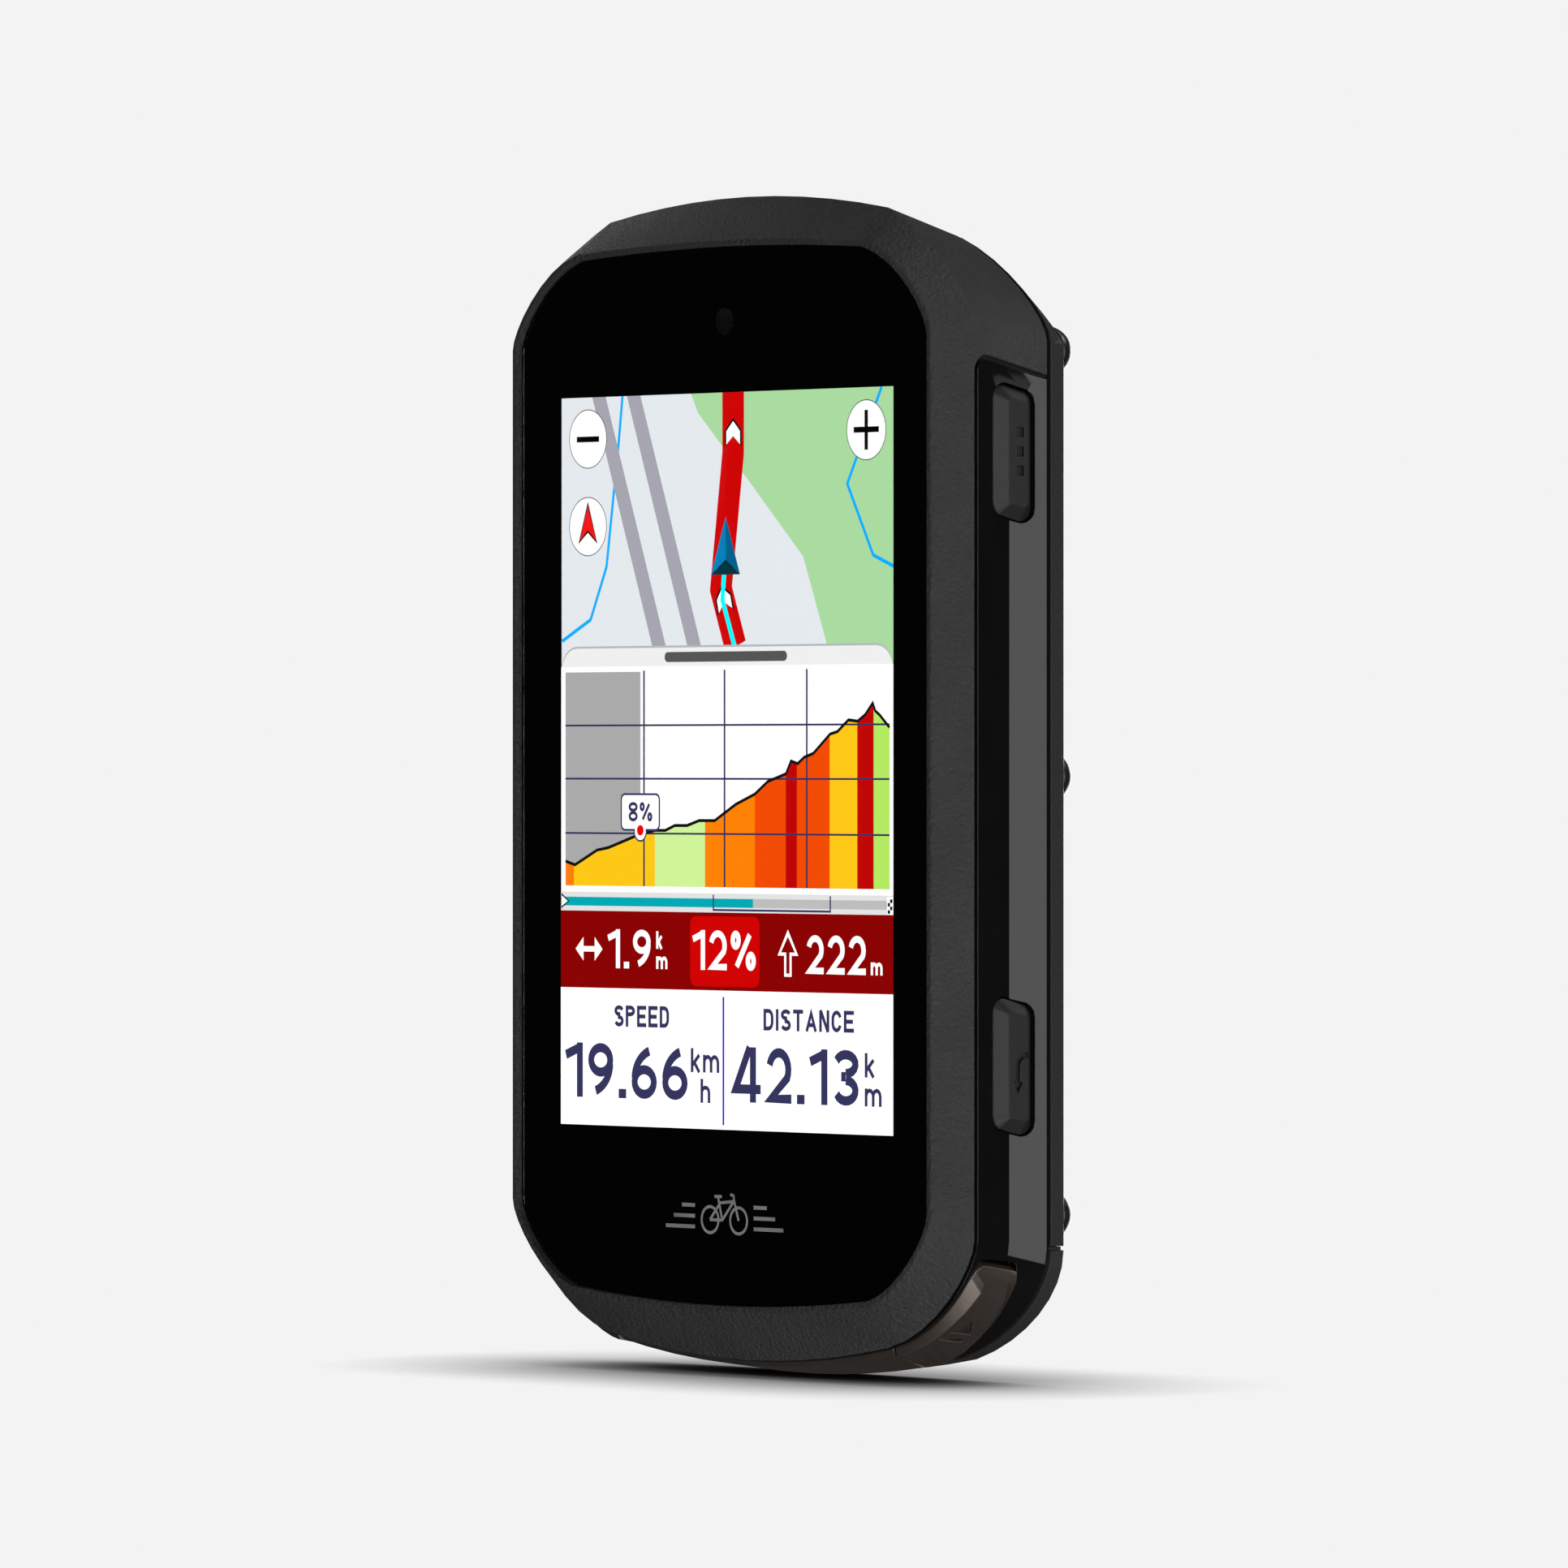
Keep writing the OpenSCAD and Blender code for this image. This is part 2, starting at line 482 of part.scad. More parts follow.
// Hooked arrow cut into the back key's face
module hook_arrow() along_x(half_w + key_out - 0.35, far) {
    translate([0.75, 0.35]) difference() {
        circle(1.05, $fn = 40);
        circle(0.65, $fn = 40);
        translate([0, -2]) square([3, 4]);
        translate([-3, -4]) square([6, 4]);
    }
    translate([0.7, 1.0]) square([0.35, 0.4]);
    translate([-0.3, -0.95]) square([0.4, 1.31]);
    polygon([[-0.6, -0.9], [0.4, -0.9], [-0.1, -1.75]]);
}
module back_button() color("#333333") in_case() difference() {
    side_key(key_l, back_z);
    translate([0, key_y + 0.05, back_z - 0.3]) hook_arrow();
}
module power_button() color("#333333") in_case() mirror([1, 0, 0]) side_key(key_l, menu_z);
module up_button() color("#333333") in_case() mirror([1, 0, 0]) side_key(key_l, up_z);
module down_button() color("#333333") in_case() mirror([1, 0, 0]) side_key(key_l, down_z);
module start_button() color("#3a3531") in_case() difference() {
    start_key();
    start_sign();
}
module lap_button() color("#3a3531") in_case() mirror([1, 0, 0]) start_key();

module port_flap() color("#222222") in_case() {
    intersection() {
        loft([ring(rear_y + 0.03), ring(case_t - 0.3), ring(case_t, 0.3)]);
        block(-far, far, 0, far, -far, hinge[1]);
    }
    intersection() {
        loft([ring(rear_y + 0.1, flap_step), ring(hinge[0], flap_step)]);
        block(-far, far, 0, far, hinge[1] - 0.1, flap_z - flap_gap);
    }
    plate(-4.6, 4.6, 9.75, rear_y + 0.1, socket_z - 1.6, socket_z + 1.6, 0.8);
}

front_bezel();
cover_glass();
glass_gasket();
display_panel();
display_backlight();
light_sensor();
side_frame();
bottom_trim();
front_gasket();
rear_gasket();
main_board();
shield_cans();
board_chips();
gnss_antenna();
battery();
battery_foam();
usb_socket();
usb_tongue();
speaker();
vent_membrane();
right_switches();
left_switches();
bottom_switches();
key_flex();
display_ribbon();
rear_cover();
case_screws();
quarter_turn_mount();
mount_screws();
menu_button();
back_button();
power_button();
up_button();
down_button();
start_button();
lap_button();
port_flap();
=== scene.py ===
import itertools
import json
import math

import bpy
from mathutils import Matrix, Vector
from mathutils.geometry import tessellate_polygon


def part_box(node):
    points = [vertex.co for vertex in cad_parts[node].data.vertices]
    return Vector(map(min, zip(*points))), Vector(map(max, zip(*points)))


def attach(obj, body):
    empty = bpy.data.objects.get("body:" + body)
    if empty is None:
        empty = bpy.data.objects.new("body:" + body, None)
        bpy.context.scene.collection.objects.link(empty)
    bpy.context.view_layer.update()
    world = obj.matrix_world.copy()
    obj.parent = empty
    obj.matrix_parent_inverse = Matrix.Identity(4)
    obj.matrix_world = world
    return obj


# Looks of the cycling computer: materials, lit screen, printed marks, light and camera.
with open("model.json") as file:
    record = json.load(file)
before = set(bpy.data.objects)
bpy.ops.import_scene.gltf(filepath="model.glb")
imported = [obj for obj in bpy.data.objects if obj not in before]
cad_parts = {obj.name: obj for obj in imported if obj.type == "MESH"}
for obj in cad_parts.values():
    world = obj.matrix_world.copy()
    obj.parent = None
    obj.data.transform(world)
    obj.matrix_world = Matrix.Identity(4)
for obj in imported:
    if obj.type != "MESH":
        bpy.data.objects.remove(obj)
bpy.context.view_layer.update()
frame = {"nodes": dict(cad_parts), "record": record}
MM = 0.001

# ---------------------------------------------------------------- camera, light and floor

AIM = Vector((-0.0007, -0.0008, 0.04824))
VIEW_TURN = math.radians(49.68)      # how far the camera stands round to the right of the glass
VIEW_DISTANCE = 0.9302
LENS = 269.45                        # focal length in millimetres on a sensor 36 mm wide
LENS_SHIFT = -0.0119                 # as a share of the sensor's width, down
BACKDROP = 243                       # brightness of floor and backdrop, out of 255
ROOM_LIGHT = 0.015
FLOOR_HALF = 4                       # half the floor's width, in metres
SHADOW_REACH = 0.02                  # distance over which the floor darkens near the part, in metres
SHADOW_DEPTH = 2.0                   # power that the nearness is raised to
# Area lights: direction from the part, distance, width and height in metres, and power in watts
LIGHTS = {
    "right_strip": ((0.959, 0.287, 0.02), 0.7, 0.3, 0.6, 1.12),
    "right_front": ((0.75, -0.66, 0.05), 0.8, 0.3, 0.4, 2.2),
    "overhead": ((0.15, 0.35, 1), 0.7, 0.5, 0.4, 0.8),
    "left_front": ((-0.45, -1, 0.5), 0.9, 0.3, 0.3, 0.4),
    "back_rim": ((0.35, 0.9, 0.75), 0.7, 0.3, 0.2, 0.5),
    "behind": ((-0.6, 1, -0.1), 0.8, 0.4, 0.4, 2.2),
    "left_side": ((-1, 0.25, 0.2), 0.8, 0.3, 0.4, 1.2),
    "low_right": ((0.5, -0.32, -0.8), 0.6, 0.4, 0.4, 1.5),
    "channel_glint": ((0.79, 0.606, -0.096), 0.7, 0.16, 0.16, 0.045),
}


def linear(level):
    """Light value of a display level from 0 to 255."""
    share = level / 255
    return share / 12.92 if share <= 0.04045 else ((share + 0.055) / 1.055) ** 2.4


def colour(text):
    """Linear colour of a hex code such as e5eaee."""
    return tuple(linear(int(text[i:i + 2], 16)) for i in (0, 2, 4)) + (1.0,)


def grey(level):
    """Linear grey of a display level from 0 to 255."""
    return (linear(level),) * 3 + (1.0,)


def make_camera():
    """Level camera that looks at the part from its front right."""
    data = bpy.data.cameras.new("camera")
    data.lens = LENS
    data.sensor_width = 36
    data.shift_y = LENS_SHIFT
    camera = bpy.data.objects.new("camera", data)
    towards = Vector((math.sin(VIEW_TURN), -math.cos(VIEW_TURN), 0))
    camera.location = AIM + VIEW_DISTANCE * towards
    camera.rotation_euler = (-towards).to_track_quat("-Z", "Y").to_euler()
    bpy.context.scene.collection.objects.link(camera)
    bpy.context.scene.camera = camera


def softbox(name, direction, distance, width, height, power):
    """Rectangular area light that faces the object from a direction."""
    data = bpy.data.lights.new(name, "AREA")
    data.shape = "RECTANGLE"
    data.size = width
    data.size_y = height
    data.energy = power
    light = bpy.data.objects.new(name, data)
    away = Vector(direction).normalized()
    light.location = AIM + distance * away
    light.rotation_euler = (-away).to_track_quat("-Z", "Y").to_euler()
    bpy.context.scene.collection.objects.link(light)


def make_world():
    """Pale backdrop to the camera, and dim room light to the object."""
    world = bpy.data.worlds.new("studio")
    bpy.context.scene.world = world
    world.use_nodes = True
    tree = world.node_tree
    tree.nodes.clear()
    output = tree.nodes.new("ShaderNodeOutputWorld")
    mix = tree.nodes.new("ShaderNodeMixShader")
    path = tree.nodes.new("ShaderNodeLightPath")
    room = tree.nodes.new("ShaderNodeBackground")
    room.inputs["Color"].default_value = (0.9, 0.95, 1.0, 1)
    room.inputs["Strength"].default_value = ROOM_LIGHT
    backdrop = tree.nodes.new("ShaderNodeBackground")
    backdrop.inputs["Color"].default_value = grey(BACKDROP)
    tree.links.new(path.outputs["Is Camera Ray"], mix.inputs["Fac"])
    tree.links.new(room.outputs[0], mix.inputs[1])
    tree.links.new(backdrop.outputs[0], mix.inputs[2])
    tree.links.new(mix.outputs[0], output.inputs["Surface"])


def make_floor():
    """Pale floor that runs into the backdrop and darkens near the part. Light passes through it."""
    mesh = bpy.data.meshes.new("floor")
    corners = [(-FLOOR_HALF, -FLOOR_HALF, 0), (FLOOR_HALF, -FLOOR_HALF, 0),
               (FLOOR_HALF, FLOOR_HALF, 0), (-FLOOR_HALF, FLOOR_HALF, 0)]
    mesh.from_pydata(corners, [], [(0, 1, 2, 3)])
    floor = bpy.data.objects.new("floor", mesh)
    bpy.context.scene.collection.objects.link(floor)
    material = bpy.data.materials.new("floor")
    material.use_nodes = True
    tree = material.node_tree
    tree.nodes.remove(tree.nodes["Principled BSDF"])
    unseen = tree.nodes.new("ShaderNodeBsdfTransparent")
    shadow = tree.nodes.new("ShaderNodeAmbientOcclusion")
    shadow.inputs["Distance"].default_value = SHADOW_REACH
    shadow.samples = 16
    deepen = tree.nodes.new("ShaderNodeMath")
    deepen.operation = "POWER"
    deepen.inputs[1].default_value = SHADOW_DEPTH
    glow = tree.nodes.new("ShaderNodeEmission")
    glow.inputs["Color"].default_value = grey(BACKDROP)
    path = tree.nodes.new("ShaderNodeLightPath")
    mix = tree.nodes.new("ShaderNodeMixShader")
    tree.links.new(shadow.outputs["AO"], deepen.inputs[0])
    tree.links.new(deepen.outputs[0], glow.inputs["Strength"])
    tree.links.new(path.outputs["Is Camera Ray"], mix.inputs["Fac"])
    tree.links.new(unseen.outputs[0], mix.inputs[1])
    tree.links.new(glow.outputs[0], mix.inputs[2])
    tree.links.new(mix.outputs[0], tree.nodes["Material Output"].inputs["Surface"])
    mesh.materials.append(material)


make_camera()
make_world()
make_floor()
for light_name, (direction, distance, width, height, power) in LIGHTS.items():
    softbox(light_name, direction, distance, width, height, power)
bpy.context.scene.view_settings.view_transform = "Standard"

# ---------------------------------------------------------------- materials

BEVEL_SAMPLES = 4


def link(tree, source, target):
    tree.links.new(source, target)


def texture(tree, kind, grain, **settings):
    """Texture node in the object's own space, with features of the given size in millimetres."""
    node = tree.nodes.new(kind)
    node.inputs["Scale"].default_value = 1 / (grain * MM)
    for name, value in settings.items():
        node.inputs[name.replace("_", " ").title()].default_value = value
    place = tree.nodes.new("ShaderNodeTexCoord")
    link(tree, place.outputs["Object"], node.inputs["Vector"])
    return node


def spread(tree, source, low, high):
    """Maps a texture's middle range to low and high."""
    node = tree.nodes.new("ShaderNodeMapRange")
    node.inputs["From Min"].default_value = 0.3
    node.inputs["From Max"].default_value = 0.7
    node.inputs["To Min"].default_value = low
    node.inputs["To Max"].default_value = high
    link(tree, source, node.inputs["Value"])
    return node.outputs["Result"]


def edge_mask(tree, radius):
    """1 where the surface turns sharply within the radius in millimetres, broken up by noise."""
    round_off = tree.nodes.new("ShaderNodeBevel")
    round_off.samples = BEVEL_SAMPLES
    round_off.inputs["Radius"].default_value = radius * MM
    shape = tree.nodes.new("ShaderNodeNewGeometry")
    dot = tree.nodes.new("ShaderNodeVectorMath")
    dot.operation = "DOT_PRODUCT"
    link(tree, round_off.outputs["Normal"], dot.inputs[0])
    link(tree, shape.outputs["Normal"], dot.inputs[1])
    turn = tree.nodes.new("ShaderNodeMapRange")
    turn.inputs["From Min"].default_value = 0.99
    turn.inputs["From Max"].default_value = 0.8
    link(tree, dot.outputs["Value"], turn.inputs["Value"])
    patches = texture(tree, "ShaderNodeTexNoise", 1.5, detail=3.0)
    both = tree.nodes.new("ShaderNodeMath")
    both.operation = "MULTIPLY"
    link(tree, turn.outputs["Result"], both.inputs[0])
    link(tree, spread(tree, patches.outputs["Fac"], 0.3, 1.0), both.inputs[1])
    return both.outputs[0]


def blend_colours(tree, share, first, second):
    """Colour between two colours or sockets by a share from 0 to 1."""
    node = tree.nodes.new("ShaderNodeMix")
    node.data_type = "RGBA"
    link(tree, share, node.inputs["Factor"])
    for socket, value in ((node.inputs[6], first), (node.inputs[7], second)):
        if isinstance(value, tuple):
            socket.default_value = value
        else:
            link(tree, value, socket)
    return node.outputs[2]


def shade(base, factor):
    """Colour made lighter or darker by a factor."""
    return tuple(min(1.0, c * factor) for c in base[:3]) + (1.0,)


def finish(name, base, rough=0.5, metal=0.0, grain=0.0, depth=0.0, vary=0.12, wear_and_highlight=0.0, coat=0.0,
           leather=0.0, edge=0.12, specular=0.5, sheen=0.0):
    """Material with colour variation, fine grain, and lighter edges: wear and painted highlight.

    grain and depth are the grain's size and depth in millimetres, leather the size of its pebbles,
    edge the radius that sharp edges are rounded by, and the edge lightening how much lighter the
    edges are, as rubbed wear and as painted highlight.
    """
    material = bpy.data.materials.new(name)
    material.use_nodes = True
    tree = material.node_tree
    surface = tree.nodes["Principled BSDF"]
    surface.inputs["Metallic"].default_value = metal
    surface.inputs["Coat Weight"].default_value = coat
    surface.inputs["Coat Roughness"].default_value = 0.08
    surface.inputs["Specular IOR Level"].default_value = specular
    surface.inputs["Sheen Weight"].default_value = sheen
    clouds = texture(tree, "ShaderNodeTexNoise", 6.0, detail=4.0)
    tone = spread(tree, clouds.outputs["Fac"], 0.0, 1.0)
    shown = blend_colours(tree, tone, shade(base, 1 - vary), shade(base, 1 + vary))
    # Lighter sharp edges: partly rubbed wear, partly a painted highlight.
    if wear_and_highlight:
        worn_and_lit_edges = edge_mask(tree, edge * 1.6)
        shown = blend_colours(tree, worn_and_lit_edges, shown, shade(base, 1 + wear_and_highlight))
    link(tree, shown, surface.inputs["Base Color"])
    fine = texture(tree, "ShaderNodeTexNoise", max(grain, 0.1), detail=3.0)
    polish = spread(tree, fine.outputs["Fac"], rough - 0.05, rough + 0.05)
    link(tree, polish, surface.inputs["Roughness"])
    soft_edge = tree.nodes.new("ShaderNodeBevel")
    soft_edge.samples = BEVEL_SAMPLES
    soft_edge.inputs["Radius"].default_value = edge * MM
    normal = soft_edge.outputs["Normal"]
    if depth:
        height = fine.outputs["Fac"]
        if leather:
            height = pebbles(tree, leather, fine)
        bump = tree.nodes.new("ShaderNodeBump")
        bump.inputs["Distance"].default_value = depth * MM
        link(tree, height, bump.inputs["Height"])
        link(tree, normal, bump.inputs["Normal"])
        normal = bump.outputs["Normal"]
    link(tree, normal, surface.inputs["Normal"])
    return material


def pebbles(tree, size, fine):
    """Height of a leather-like grain: uneven pebbles between fine creases."""
    cells = texture(tree, "ShaderNodeTexVoronoi", size)
    cells.feature = "SMOOTH_F1"
    cells.inputs["Smoothness"].default_value = 0.6
    warp = texture(tree, "ShaderNodeTexNoise", size * 1.7, detail=2.0)
    place = tree.nodes.new("ShaderNodeVectorMath")
    place.operation = "MULTIPLY_ADD"
    place.inputs[1].default_value = (0.9 * size * MM,) * 3
    link(tree, warp.outputs["Color"], place.inputs[0])
    link(tree, cells.inputs["Vector"].links[0].from_socket, place.inputs[2])
    link(tree, place.outputs[0], cells.inputs["Vector"])
    height = tree.nodes.new("ShaderNodeMath")
    height.operation = "MULTIPLY_ADD"
    height.inputs[1].default_value = -1.0
    link(tree, cells.outputs["Distance"], height.inputs[0])
    link(tree, fine.outputs["Fac"], height.inputs[2])
    return height.outputs[0]


def glass_finish():
    """Clear cover glass with a trace of smears in its polish."""
    material = bpy.data.materials.new("cover_glass")
    material.use_nodes = True
    tree = material.node_tree
    surface = tree.nodes["Principled BSDF"]
    surface.inputs["Base Color"].default_value = (1, 1, 1, 1)
    surface.inputs["Transmission Weight"].default_value = 1.0
    surface.inputs["IOR"].default_value = 1.5
    smears = texture(tree, "ShaderNodeTexNoise", 14.0, detail=5.0)
    link(tree, spread(tree, smears.outputs["Fac"], 0.0, 0.015), surface.inputs["Roughness"])
    return material


def circuit_finish():
    """Green solder mask over a net of copper tracks."""
    material = finish("circuit_board", colour("1c4b33"), rough=0.35, grain=0.3, depth=0.01, coat=0.3)
    tree = material.node_tree
    surface = tree.nodes["Principled BSDF"]
    mask = surface.inputs["Base Color"].links[0].from_socket
    tracks = texture(tree, "ShaderNodeTexBrick", 4.0)
    tracks.inputs["Mortar Size"].default_value = 0.012
    lines = blend_colours(tree, tracks.outputs["Fac"], mask, colour("3f8a5c"))
    link(tree, lines, surface.inputs["Base Color"])
    return material


MATERIALS = {
    "grained_plastic": finish("grained_plastic", grey(63), rough=0.5, grain=0.09, depth=0.18,
                              leather=0.36, wear_and_highlight=0.5, edge=0.25),
    "cover_glass": glass_finish(),
    "black_rubber": finish("black_rubber", grey(10), rough=0.7, grain=0.2, depth=0.01),
    "display": finish("display", grey(200), rough=0.3, grain=0.2, depth=0.002),
    "sheet_steel": finish("sheet_steel", grey(190), rough=0.3, metal=1.0, grain=0.15, depth=0.004),
    "sensor_window": finish("sensor_window", grey(26), rough=0.3, grain=0.2, depth=0.004),
    "gloss_frame": finish("gloss_frame", grey(18), rough=0.12, grain=0.5, depth=0.001, specular=0.5,
                          wear_and_highlight=0.6, edge=0.1),
    "bronze_metal": finish("bronze_metal", colour("6a615a"), rough=0.36, metal=0.75, grain=0.07,
                           depth=0.006, wear_and_highlight=0.8, edge=0.15),
    "circuit_board": circuit_finish(),
    "chip_black": finish("chip_black", grey(34), rough=0.45, grain=0.08, depth=0.004),
    "ceramic": finish("ceramic", colour("d9cfae"), rough=0.6, grain=0.2, depth=0.01),
    "battery_wrap": finish("battery_wrap", colour("3b5f8f"), rough=0.4, grain=0.8, depth=0.02),
    "foam": finish("foam", colour("55585c"), rough=0.9, grain=0.3, depth=0.08, sheen=0.2),
    "white_membrane": finish("white_membrane", grey(216), rough=0.9, grain=0.1, depth=0.02),
    "switch_plastic": finish("switch_plastic", colour("c9c9c4"), rough=0.5, grain=0.2, depth=0.006),
    "copper_flex": finish("copper_flex", colour("a8703a"), rough=0.35, metal=0.5, grain=0.4,
                          depth=0.006),
    "cover_plastic": finish("cover_plastic", grey(28), rough=0.5, grain=0.1, depth=0.014,
                            leather=0.22, wear_and_highlight=0.4, edge=0.15),
    "dark_steel": finish("dark_steel", grey(92), rough=0.32, metal=0.9, grain=0.1, depth=0.003,
                         wear_and_highlight=0.5),
    "lug_plastic": finish("lug_plastic", grey(34), rough=0.42, grain=0.12, depth=0.006, wear_and_highlight=0.5),
    "key_plastic": finish("key_plastic", grey(29), rough=0.52, grain=0.1, depth=0.012, leather=0.2,
                          wear_and_highlight=0.5, edge=0.12),
    "flap_rubber": finish("flap_rubber", grey(38), rough=0.6, grain=0.14, depth=0.012, leather=0.24),
}

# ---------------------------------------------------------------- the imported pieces

SHARP_ANGLE = math.radians(14)       # facets that meet at less than this look like one surface
ROUNDED_ANGLE = math.radians(28)     # edges sharper than this are rounded


def smooth_by_angle():
    """Node group that shades a mesh smooth except across edges sharper than a limit."""
    group = bpy.data.node_groups.new("smooth_by_angle", "GeometryNodeTree")
    group.interface.new_socket("Geometry", in_out="INPUT", socket_type="NodeSocketGeometry")
    group.interface.new_socket("Geometry", in_out="OUTPUT", socket_type="NodeSocketGeometry")
    start = group.nodes.new("NodeGroupInput")
    end = group.nodes.new("NodeGroupOutput")
    faces = group.nodes.new("GeometryNodeSetShadeSmooth")
    edges = group.nodes.new("GeometryNodeSetShadeSmooth")
    edges.domain = "EDGE"
    edges.inputs["Shade Smooth"].default_value = False
    angle = group.nodes.new("GeometryNodeInputMeshEdgeAngle")
    sharp = group.nodes.new("FunctionNodeCompare")
    sharp.operation = "GREATER_THAN"
    sharp.inputs["B"].default_value = SHARP_ANGLE
    group.links.new(start.outputs[0], faces.inputs["Geometry"])
    group.links.new(faces.outputs[0], edges.inputs["Geometry"])
    group.links.new(angle.outputs["Unsigned Angle"], sharp.inputs["A"])
    group.links.new(sharp.outputs["Result"], edges.inputs["Selection"])
    group.links.new(edges.outputs[0], end.inputs[0])
    return group


SMOOTH = smooth_by_angle()


def refine(piece, edge):
    """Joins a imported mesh's facets, rounds its edges by a width in millimetres, and smooths it."""
    normals = piece.data.attributes.get("custom_normal")
    if normals:
        piece.data.attributes.remove(normals)
    weld = piece.modifiers.new("join", "WELD")
    weld.merge_threshold = 2e-6
    if edge:
        flats = piece.modifiers.new("flats", "DECIMATE")
        flats.decimate_type = "DISSOLVE"
        flats.angle_limit = math.radians(0.5)
        bevel = piece.modifiers.new("edges", "BEVEL")
        bevel.width = edge * MM
        bevel.segments = 2
        bevel.limit_method = "ANGLE"
        bevel.angle_limit = ROUNDED_ANGLE
    shading = piece.modifiers.new("shading", "NODES")
    shading.node_group = SMOOTH
    weights = piece.modifiers.new("flat_sides", "WEIGHTED_NORMAL")
    weights.keep_sharp = True


# Widths of the rounded edges, in millimetres
EDGES = {"front_bezel": 0.08, "side_frame": 0.05, "rear_cover": 0.08, "start_button": 0.08,
         "lap_button": 0.08, "menu_button": 0.08, "back_button": 0.08, "power_button": 0.08,
         "up_button": 0.08, "down_button": 0.08, "bottom_trim": 0.05, "port_flap": 0.08,
         "quarter_turn_mount": 0.1, "case_screws": 0.06, "mount_screws": 0.05}
SLOTS = {part["node"]: part["material_slot"] for part in frame["record"]["subparts"]}
for name, node in frame["nodes"].items():
    for place in node.material_slots:
        place.material = MATERIALS[SLOTS[name]]
    refine(node, EDGES.get(name, 0))

# ---------------------------------------------------------------- screen and printed marks

panel_low, panel_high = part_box("display_panel")
glass_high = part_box("cover_glass")[1]
sensor_low, sensor_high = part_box("light_sensor")
# How far the panel runs on past the picture, in millimetres
PANEL_SIDE, PANEL_TOP, PANEL_FOOT = 1.0, 1.2, 2.87
SCREEN_X = panel_high.x / MM - PANEL_SIDE         # half the picture's width
SCREEN_TOP = panel_high.z / MM - PANEL_TOP
SCREEN_LOW = panel_low.z / MM + PANEL_FOOT
SCREEN_Z = (SCREEN_TOP + SCREEN_LOW) / 2
HALF_H = (SCREEN_TOP - SCREEN_LOW) / 2
PICTURE_GAP = 0.006                               # between the panel and the picture's first layer
LAYER = 0.0018                                    # between layers of the picture
SCREEN_GLOW = 1.12                                # makes up for what the glass takes away
CIRCLE_STEPS = 47

# Flat shapes are (points, faces). Points are across and up from the screen's centre, in millimetres.


def patch(*loops):
    """Flat shape inside the first loop of points and outside the others."""
    rings = [[Vector((x, z, 0)) for x, z in loop] for loop in loops]
    points = [point for loop in loops for point in loop]
    return points, [tuple(face) for face in tessellate_polygon(rings)]


def box(x0, x1, z0, z1):
    return patch([(x0, z0), (x1, z0), (x1, z1), (x0, z1)])


def bow(x, z, rx, rz, start, end, steps=12):
    """Points along a part of an ellipse, with angles in degrees."""
    angles = [math.radians(start + (end - start) * i / steps) for i in range(steps + 1)]
    return [(x + rx * math.cos(a), z + rz * math.sin(a)) for a in angles]


def arc(x, z, radius, start, end, steps):
    return bow(x, z, radius, radius, start, end, steps)


def circle(x, z, radius):
    return arc(x, z, radius, 0, 352.5, CIRCLE_STEPS)


def disc(x, z, radius):
    return patch(circle(x, z, radius))


def ring(x, z, radius, width):
    return patch(arc(x, z, radius, 0, 354, 59), arc(x, z, radius - width, 0, 354, 59))


def round_loop(x0, x1, z0, z1, r):
    """Rectangle with round corners."""
    return (arc(x1 - r, z1 - r, r, 0, 90, 6) + arc(x0 + r, z1 - r, r, 90, 180, 6)
            + arc(x0 + r, z0 + r, r, 180, 270, 6) + arc(x1 - r, z0 + r, r, 270, 360, 6))


def line(points, width, closed=False):
    """Ribbon of constant width along points, with mitred corners."""
    left, right = [], []
    count = len(points)
    for i, point in enumerate(points):
        here = Vector(point)
        before = (here - Vector(points[i - 1])).normalized() if closed or i else None
        following = Vector(points[(i + 1) % count])
        after = (following - here).normalized() if closed or i + 1 < count else None
        way = ((before or after) + (after or before)).normalized()
        across = Vector((-way.y, way.x))
        reach = width / 2 / max(0.4, way.dot(after or before))
        left.append(tuple(here + across * reach))
        right.append(tuple(here - across * reach))
    ends = [(i, (i + 1) % count) for i in range(count if closed else count - 1)]
    return left + right[::-1], [(i, j, 2 * count - 1 - j, 2 * count - 1 - i) for i, j in ends]


def joined(shapes):
    """Several flat shapes as one."""
    points, faces = [], []
    for more_points, more_faces in shapes:
        faces += [tuple(len(points) + i for i in face) for face in more_faces]
        points += more_points
    return points, faces


# Widths of the letters and of the room between them, against each other
LETTER_WIDTHS = {"1": 0.34, ".": 0.15, "I": 0.15, "%": 0.7, "m": 0.95, "A": 0.58, "4": 0.55}
USUAL_WIDTH = 0.5
LETTER_GAP = 0.11


